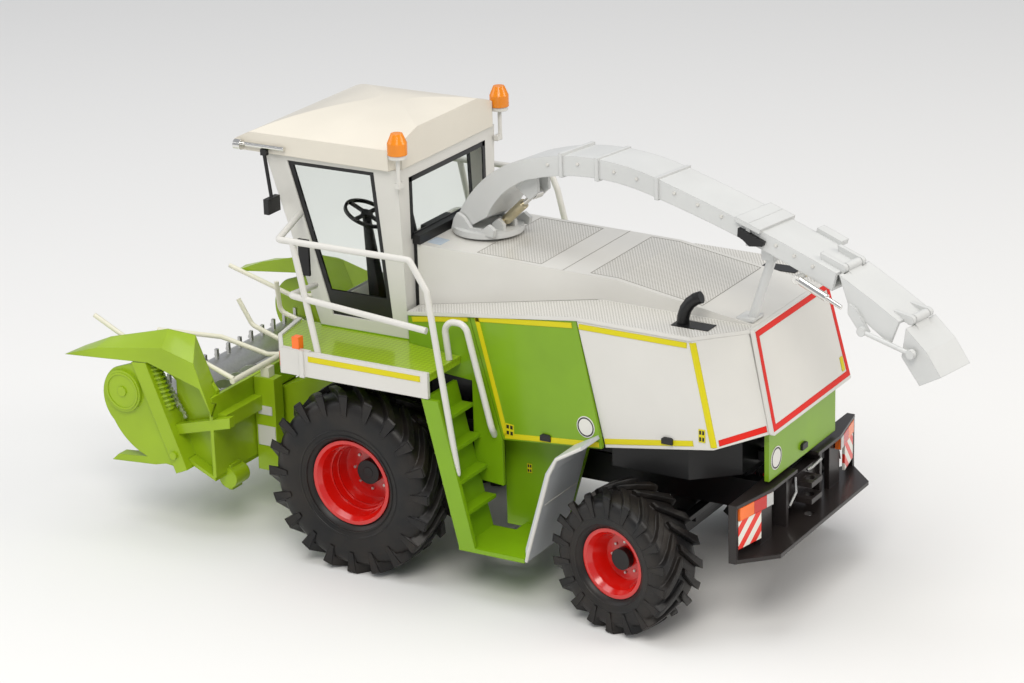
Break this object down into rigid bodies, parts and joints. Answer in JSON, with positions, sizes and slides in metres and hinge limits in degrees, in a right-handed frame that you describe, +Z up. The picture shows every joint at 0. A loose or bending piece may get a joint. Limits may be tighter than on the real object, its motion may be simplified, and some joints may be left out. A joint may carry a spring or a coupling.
{
  "type": "scale model of a self-propelled forage harvester",
  "caption": "Die-cast scale model of a green and white self-propelled forage harvester with a grass pick-up header, a slewing discharge chute, a side ladder and turning wheels.",
  "frame": {"origin": "ground under the middle of the overall length and width", "axes": "+X forward to the header, +Y to the left, +Z up"},
  "size_m": [0.2818, 0.1066, 0.1312],
  "materials": {
    "green_paint": "gloss",
    "white_paint": "gloss",
    "red_paint": "gloss",
    "black_paint": "satin",
    "steel_paint": "satin",
    "bright_metal": "polished",
    "brass_paint": "satin",
    "tyre_rubber": "satin",
    "black_plastic": "matte",
    "grey_plastic": "matte",
    "cream_plastic": "gloss",
    "amber_plastic": "gloss",
    "red_plastic": "gloss",
    "clear_glass": "clear"
  },
  "bodies": {
    "chassis": {"beacon_lenses": "amber_plastic", "beacon_stems": "white_paint", "cab_floor": "green_paint", "cab_frame": "white_paint", "cab_roof": "white_paint", "cab_windows": "clear_glass", "chassis_frame": "black_paint", "chute_rest": "white_paint", "door_frames": "black_plastic", "door_panes": "clear_glass", "exhaust": "black_paint", "front_axle": "black_paint", "front_side_panels": "green_paint", "handrails_left": "white_paint", "handrails_right": "white_paint", "hood_ledges": "white_paint", "hood_top": "white_paint", "ladder": "green_paint", "lower_side_walls": "green_paint", "mirrors": "black_plastic", "mudguards": "grey_plastic", "platform_boards": "white_paint", "platforms": "green_paint", "rear_axle_beam": "black_paint", "rear_bumper": "black_paint", "rear_hood": "white_paint", "rear_panel": "green_paint", "rear_side_panels": "white_paint", "seat": "black_plastic", "service_panels": "green_paint", "steering_column": "black_plastic", "tail_lamps": "red_plastic", "underbody_tray": "black_paint", "warning_boards": "red_plastic", "work_lamps": "bright_metal"},
    "front_wheel_left": {"rim_front_left": "red_paint", "tyre_front_left": "tyre_rubber"},
    "front_wheel_right": {"rim_front_right": "red_paint", "tyre_front_right": "tyre_rubber"},
    "rear_wheel_left": {"rim_rear_left": "red_paint", "tyre_rear_left": "tyre_rubber"},
    "rear_wheel_right": {"rim_rear_right": "red_paint", "tyre_rear_right": "tyre_rubber"},
    "steer_left": {"knuckle_left": "black_paint"},
    "steer_right": {"knuckle_right": "black_paint"},
    "tie": {"track_rod": "black_paint"},
    "turntable": {"chute_turntable": "white_paint"},
    "boom": {"chute_boom": "white_paint", "flap_cylinder": "black_paint"},
    "flap": {"chute_flap": "white_paint"},
    "tip": {"chute_tip": "white_paint"},
    "barrel": {"lift_barrel": "brass_paint"},
    "rod": {"lift_rod": "bright_metal"},
    "header": {"feed_housing": "green_paint", "header_frame": "green_paint", "header_sides": "green_paint", "header_shrouds": "green_paint", "wind_guard": "cream_plastic"},
    "reel": {"pickup_reel": "steel_paint"},
    "auger": {"header_auger": "steel_paint"}
  },
  "joints": [
    {"name": "front_wheel_left_spin", "type": "hinge", "parent": "chassis", "child": "front_wheel_left", "pos_m": [0.04014, 0.0375, 0.028], "axis": [0, 1, 0], "continuous": true},
    {"name": "front_wheel_right_spin", "type": "hinge", "parent": "chassis", "child": "front_wheel_right", "pos_m": [0.04014, -0.0375, 0.028], "axis": [0, 1, 0], "continuous": true},
    {"name": "steer_left_turn", "type": "hinge", "parent": "chassis", "child": "steer_left", "pos_m": [-0.05046, 0.03, 0.0206], "axis": [0, 0, 1], "range_deg": [-17.4, 38.6]},
    {"name": "steer_right_turn", "type": "hinge", "parent": "chassis", "child": "steer_right", "pos_m": [-0.05046, -0.03, 0.0206], "axis": [0, 0, 1], "range_deg": [-17.4, 38.6]},
    {"name": "rear_wheel_left_spin", "type": "hinge", "parent": "steer_left", "child": "rear_wheel_left", "pos_m": [-0.04836, 0.0412, 0.0206], "axis": [0.184, 0.9829, 0], "continuous": true},
    {"name": "rear_wheel_right_spin", "type": "hinge", "parent": "steer_right", "child": "rear_wheel_right", "pos_m": [-0.05256, -0.0412, 0.0206], "axis": [0.184, 0.9829, 0], "continuous": true},
    {"name": "track_rod_shift", "type": "slide", "parent": "chassis", "child": "tie", "axis": [0, 1, 0], "range_m": [-0.00425, 0.00192]},
    {"name": "chute_slew", "type": "hinge", "parent": "chassis", "child": "turntable", "pos_m": [0.01814, 0, 0.0955], "axis": [0, 0, 1], "range_deg": [-78, 98]},
    {"name": "chute_lift", "type": "hinge", "parent": "turntable", "child": "boom", "pos_m": [0.02168, -0.00064, 0.0996], "axis": [0.1779, 0.984, 0], "range_deg": [0, 16]},
    {"name": "lift_barrel_swing", "type": "hinge", "parent": "turntable", "child": "barrel", "pos_m": [0.01184, 0.00114, 0.0989], "axis": [0.1779, 0.984, 0], "range_deg": [0, 21.36]},
    {"name": "lift_rod_stroke", "type": "slide", "parent": "barrel", "child": "rod", "axis": [-0.7345, 0.1328, 0.6655], "range_m": [0, 0.00235]},
    {"name": "flap_turn", "type": "hinge", "parent": "boom", "child": "flap", "pos_m": [-0.10752, 0.02272, 0.109], "axis": [0.1779, 0.984, 0], "range_deg": [-15, 30]},
    {"name": "tip_turn", "type": "hinge", "parent": "flap", "child": "tip", "pos_m": [-0.12858, 0.02653, 0.099], "axis": [0.1779, 0.984, 0], "range_deg": [-15, 30]},
    {"name": "header_lift", "type": "hinge", "parent": "chassis", "child": "header", "pos_m": [0.06014, 0, 0.04], "axis": [0, -1, 0], "range_deg": [-5, 8]},
    {"name": "reel_spin", "type": "hinge", "parent": "header", "child": "reel", "pos_m": [0.11474, 0, 0.0345], "axis": [0, 1, 0], "continuous": true},
    {"name": "auger_spin", "type": "hinge", "parent": "header", "child": "auger", "pos_m": [0.09714, 0, 0.038], "axis": [0, 1, 0], "continuous": true}
  ],
  "couplings": [
    {"joint": "steer_right_turn", "follows": "steer_left_turn", "ratio": 1},
    {"joint": "track_rod_shift", "follows": "steer_left_turn", "m_per_rad": -0.006244},
    {"joint": "lift_barrel_swing", "follows": "chute_lift", "ratio": 1.3217},
    {"joint": "lift_rod_stroke", "follows": "chute_lift", "m_per_rad": 0.008321},
    {"joint": "tip_turn", "follows": "flap_turn", "ratio": 1}
  ]
}
